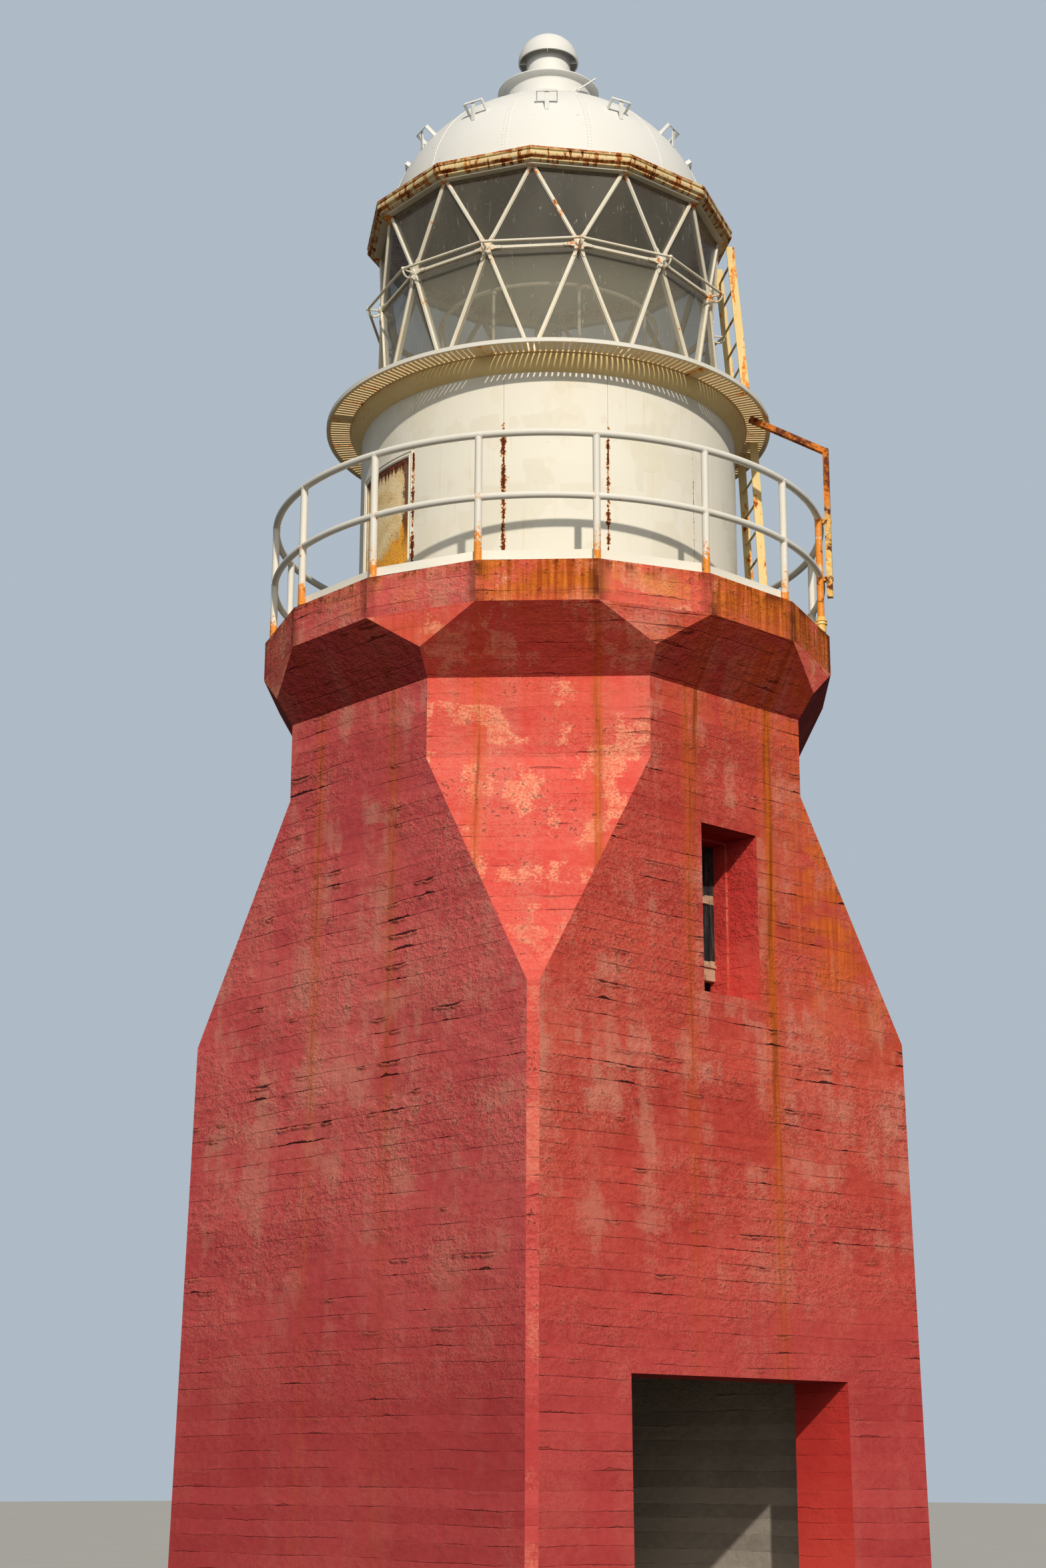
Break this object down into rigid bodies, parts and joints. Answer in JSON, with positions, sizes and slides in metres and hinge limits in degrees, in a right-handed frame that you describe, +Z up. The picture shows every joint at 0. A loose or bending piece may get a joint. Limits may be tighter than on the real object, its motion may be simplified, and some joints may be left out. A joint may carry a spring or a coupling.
{
  "type": "lighthouse",
  "caption": "Small square concrete lighthouse with a corbelled gallery, a round steel drum and a triangle-latticed glass lantern under a dome.",
  "frame": {"origin": "on the tower's axis at ground level, centre of the base", "axes": "+Z up, -Y the front with the entrance and the window, +X to the right of a person facing the front"},
  "size_m": [4.8016, 4.8016, 14.503],
  "materials": {
    "concrete_red": "faded red painted board-marked concrete, matt",
    "concrete_red_worn": "worn red painted concrete with bare lime patches, matt",
    "concrete_floor": "bare grey concrete, matt",
    "cream_wood": "weathered cream painted wood",
    "window_glass": "dark dusty window glass",
    "white_steel": "cream-white paint with rust specks",
    "white_plate": "white painted riveted plate, rust streaked",
    "door_paint": "ochre paint, rust stained",
    "grating_steel": "worn paint over rusty steel",
    "lantern_glass": "grey streaked glass",
    "rusty_steel": "rusty steel, rough",
    "lamp_grey": "grey cast metal",
    "lamp_dark": "dark lens cover, smooth"
  },
  "bodies": {
    "root": {"back_wall": "concrete_red", "broach_corners": "concrete_red", "catwalk_grating": "grating_steel", "catwalk_rim": "white_steel", "cornice": "white_plate", "dome": "white_plate", "dome_brackets": "white_steel", "drum_cove": "white_plate", "drum_door": "door_paint", "drum_door_frame": "white_steel", "drum_plates_even": "white_plate", "drum_plates_odd": "white_plate", "front_wall_left": "concrete_red", "front_wall_over_entrance": "concrete_red", "front_wall_right": "concrete_red", "gallery_deck": "concrete_red_worn", "gallery_kerb": "white_plate", "ground_floor": "concrete_floor", "guard_rail": "white_steel", "guard_rail_posts": "white_steel", "handrail_hooks": "white_steel", "lamp": "lamp_dark", "lamp_base": "lamp_grey", "lamp_pedestal": "lamp_grey", "lantern_floor": "grating_steel", "lantern_glass_lower": "lantern_glass", "lantern_glass_upper": "lantern_glass", "lantern_handrail": "white_steel", "lantern_head": "white_steel", "lantern_lattice": "white_steel", "lantern_sill": "white_steel", "left_wall": "concrete_red", "lightning_rod": "rusty_steel", "lower_ladder": "white_steel", "octagon_corbel": "concrete_red", "rail_brace": "rusty_steel", "railing_mid_rail": "white_steel", "railing_posts": "white_steel", "railing_top_rail": "white_steel", "right_wall": "concrete_red", "upper_front_wall": "concrete_red", "upper_ladder": "white_steel", "upper_side_walls": "concrete_red", "vent_cap": "white_plate", "vent_stack": "white_plate", "window_frame": "cream_wood", "window_glass": "window_glass", "window_sashes": "cream_wood"}
  },
  "joints": []
}
